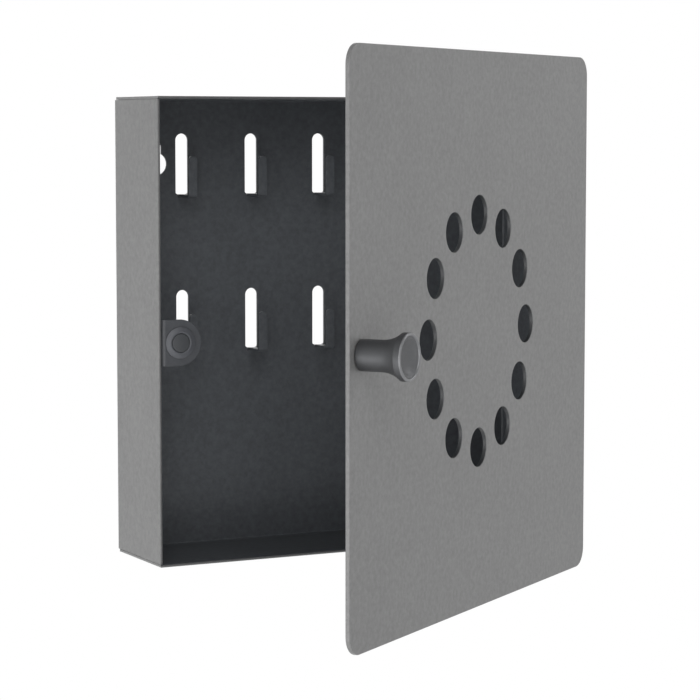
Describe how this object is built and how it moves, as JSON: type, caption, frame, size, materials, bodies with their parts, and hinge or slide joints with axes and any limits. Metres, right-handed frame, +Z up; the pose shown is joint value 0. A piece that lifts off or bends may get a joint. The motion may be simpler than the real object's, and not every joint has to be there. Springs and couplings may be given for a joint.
{
  "type": "key cabinet",
  "caption": "Wall-hung steel key cabinet with hooks bent out of its back, a hinged door plate with a ring of round windows, a turned knob and a magnet catch.",
  "frame": {"origin": "on the wall plane, midway between the two wall screws where they sit in the keyholes", "axes": "+X to the cabinet's right seen from the front, +Y into the wall, +Z up"},
  "size_m": [0.2196, 0.1986, 0.238],
  "materials": {
    "powder_coat": "fine satin powder coat, mid grey",
    "bracket_paint": "satin powder coat, dark grey",
    "knob_metal": "satin, turned",
    "zinc_steel": "bright zinc plate",
    "holder_plastic": "moulded, matt",
    "magnet": "pressed ferrite, matt"
  },
  "bodies": {
    "cabinet": {"body_pan": "powder_coat", "magnet_bracket": "bracket_paint", "magnet_holder": "holder_plastic", "catch_magnet": "magnet", "upper_hinge_body_leaf": "bracket_paint", "upper_hinge_pin": "zinc_steel", "lower_hinge_body_leaf": "bracket_paint", "lower_hinge_pin": "zinc_steel"},
    "door": {"door_plate": "powder_coat", "knob": "knob_metal", "knob_screw": "zinc_steel", "knob_lock_washer": "zinc_steel", "upper_hinge_door_leaf": "bracket_paint", "lower_hinge_door_leaf": "bracket_paint"}
  },
  "joints": [
    {"name": "door_hinge", "type": "hinge", "parent": "cabinet", "child": "door", "pos_m": [0.1028, -0.048, -0.079], "axis": [0, 0, 1], "range_deg": [-35.5, 62.5]}
  ]
}
